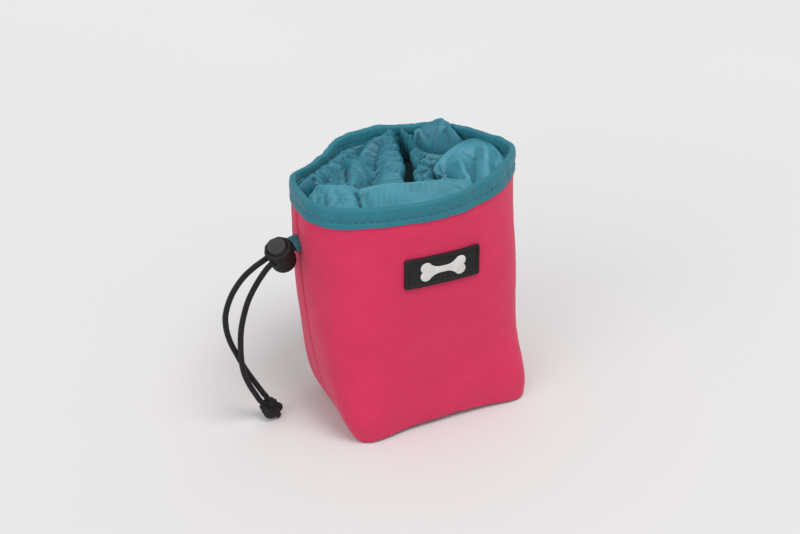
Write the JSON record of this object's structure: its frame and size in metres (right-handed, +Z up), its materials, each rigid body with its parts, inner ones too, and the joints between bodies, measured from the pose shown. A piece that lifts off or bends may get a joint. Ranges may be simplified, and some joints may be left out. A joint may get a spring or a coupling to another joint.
{
  "type": "treat pouch",
  "caption": "Soft tapered pouch for training treats, with a gathered drawstring mouth, a sprung cord lock and a belt clip.",
  "frame": {"origin": "middle of the underside of the base panel, on the surface the pouch stands on", "axes": "+Z up, -Y towards the label side, +Y towards the belt clip, -X towards the drawcord and its lock"},
  "size_m": [0.159, 0.097, 0.139],
  "materials": {
    "cloth": "matte woven polyester",
    "trim": "satin nylon",
    "lining": "coated lining",
    "cord": "braided elastic",
    "webbing": "woven webbing",
    "moulding": "satin moulding",
    "button": "fine grained moulding",
    "label": "matte rubber",
    "print": "matte inlay",
    "steel": "nickel plated"
  },
  "bodies": {
    "pouch": {"back_panel": "cloth", "back_patch": "webbing", "base_panel": "cloth", "clip_backing": "moulding", "clip_plate": "steel", "collar": "trim", "drawcord_loop": "cord", "drawcord_strand_back": "cord", "drawcord_strand_front": "cord", "end_knot": "cord", "exit_sleeve": "trim", "front_panel": "cloth", "label_emblem": "print", "label_patch": "label", "liner_base": "lining", "liner_wall": "lining", "rim_binding": "trim", "rivet_left": "steel", "rivet_right": "steel"},
    "lock": {"lock_housing": "moulding", "lock_spring": "steel"},
    "button": {"lock_button": "button"},
    "mouth_left": {"casing_left": "trim"},
    "mouth_right": {"casing_right": "trim"},
    "clip_spring": {"clip_tongue": "steel"}
  },
  "joints": [
    {"name": "lock_slide", "type": "hinge", "parent": "pouch", "child": "lock", "pos_m": [-0.05579, 0.01415, 0.0606], "axis": [0.1922, -0.9539, -0.2306], "range_deg": [0, 12], "deforming": ["drawcord_strand_back", "drawcord_strand_front"]},
    {"name": "button_press", "type": "slide", "parent": "lock", "child": "button", "axis": [0.3202, 0.2831, -0.9041], "range_m": [0, 0.0022], "stiffness_N_per_m": 300, "springref_m": -0.003, "deforming": ["lock_spring"]},
    {"name": "mouth_left_slide", "type": "slide", "parent": "pouch", "child": "mouth_left", "axis": [-0.9877, 0.1564, 0], "range_m": [-0.0024, 0.012], "stiffness_N_per_m": 25, "deforming": ["collar", "drawcord_loop"]},
    {"name": "mouth_right_slide", "type": "slide", "parent": "pouch", "child": "mouth_right", "axis": [0.9877, -0.1564, 0], "range_m": [-0.0024, 0.012], "deforming": ["collar", "drawcord_loop"]},
    {"name": "clip_flex", "type": "hinge", "parent": "pouch", "child": "clip_spring", "pos_m": [-0.0052, 0.05288, 0.10617], "axis": [1, 0, 0], "range_deg": [0, 9], "stiffness_Nm_per_rad": 1}
  ],
  "couplings": [
    {"joint": "mouth_right_slide", "follows": "mouth_left_slide", "ratio": 1}
  ]
}
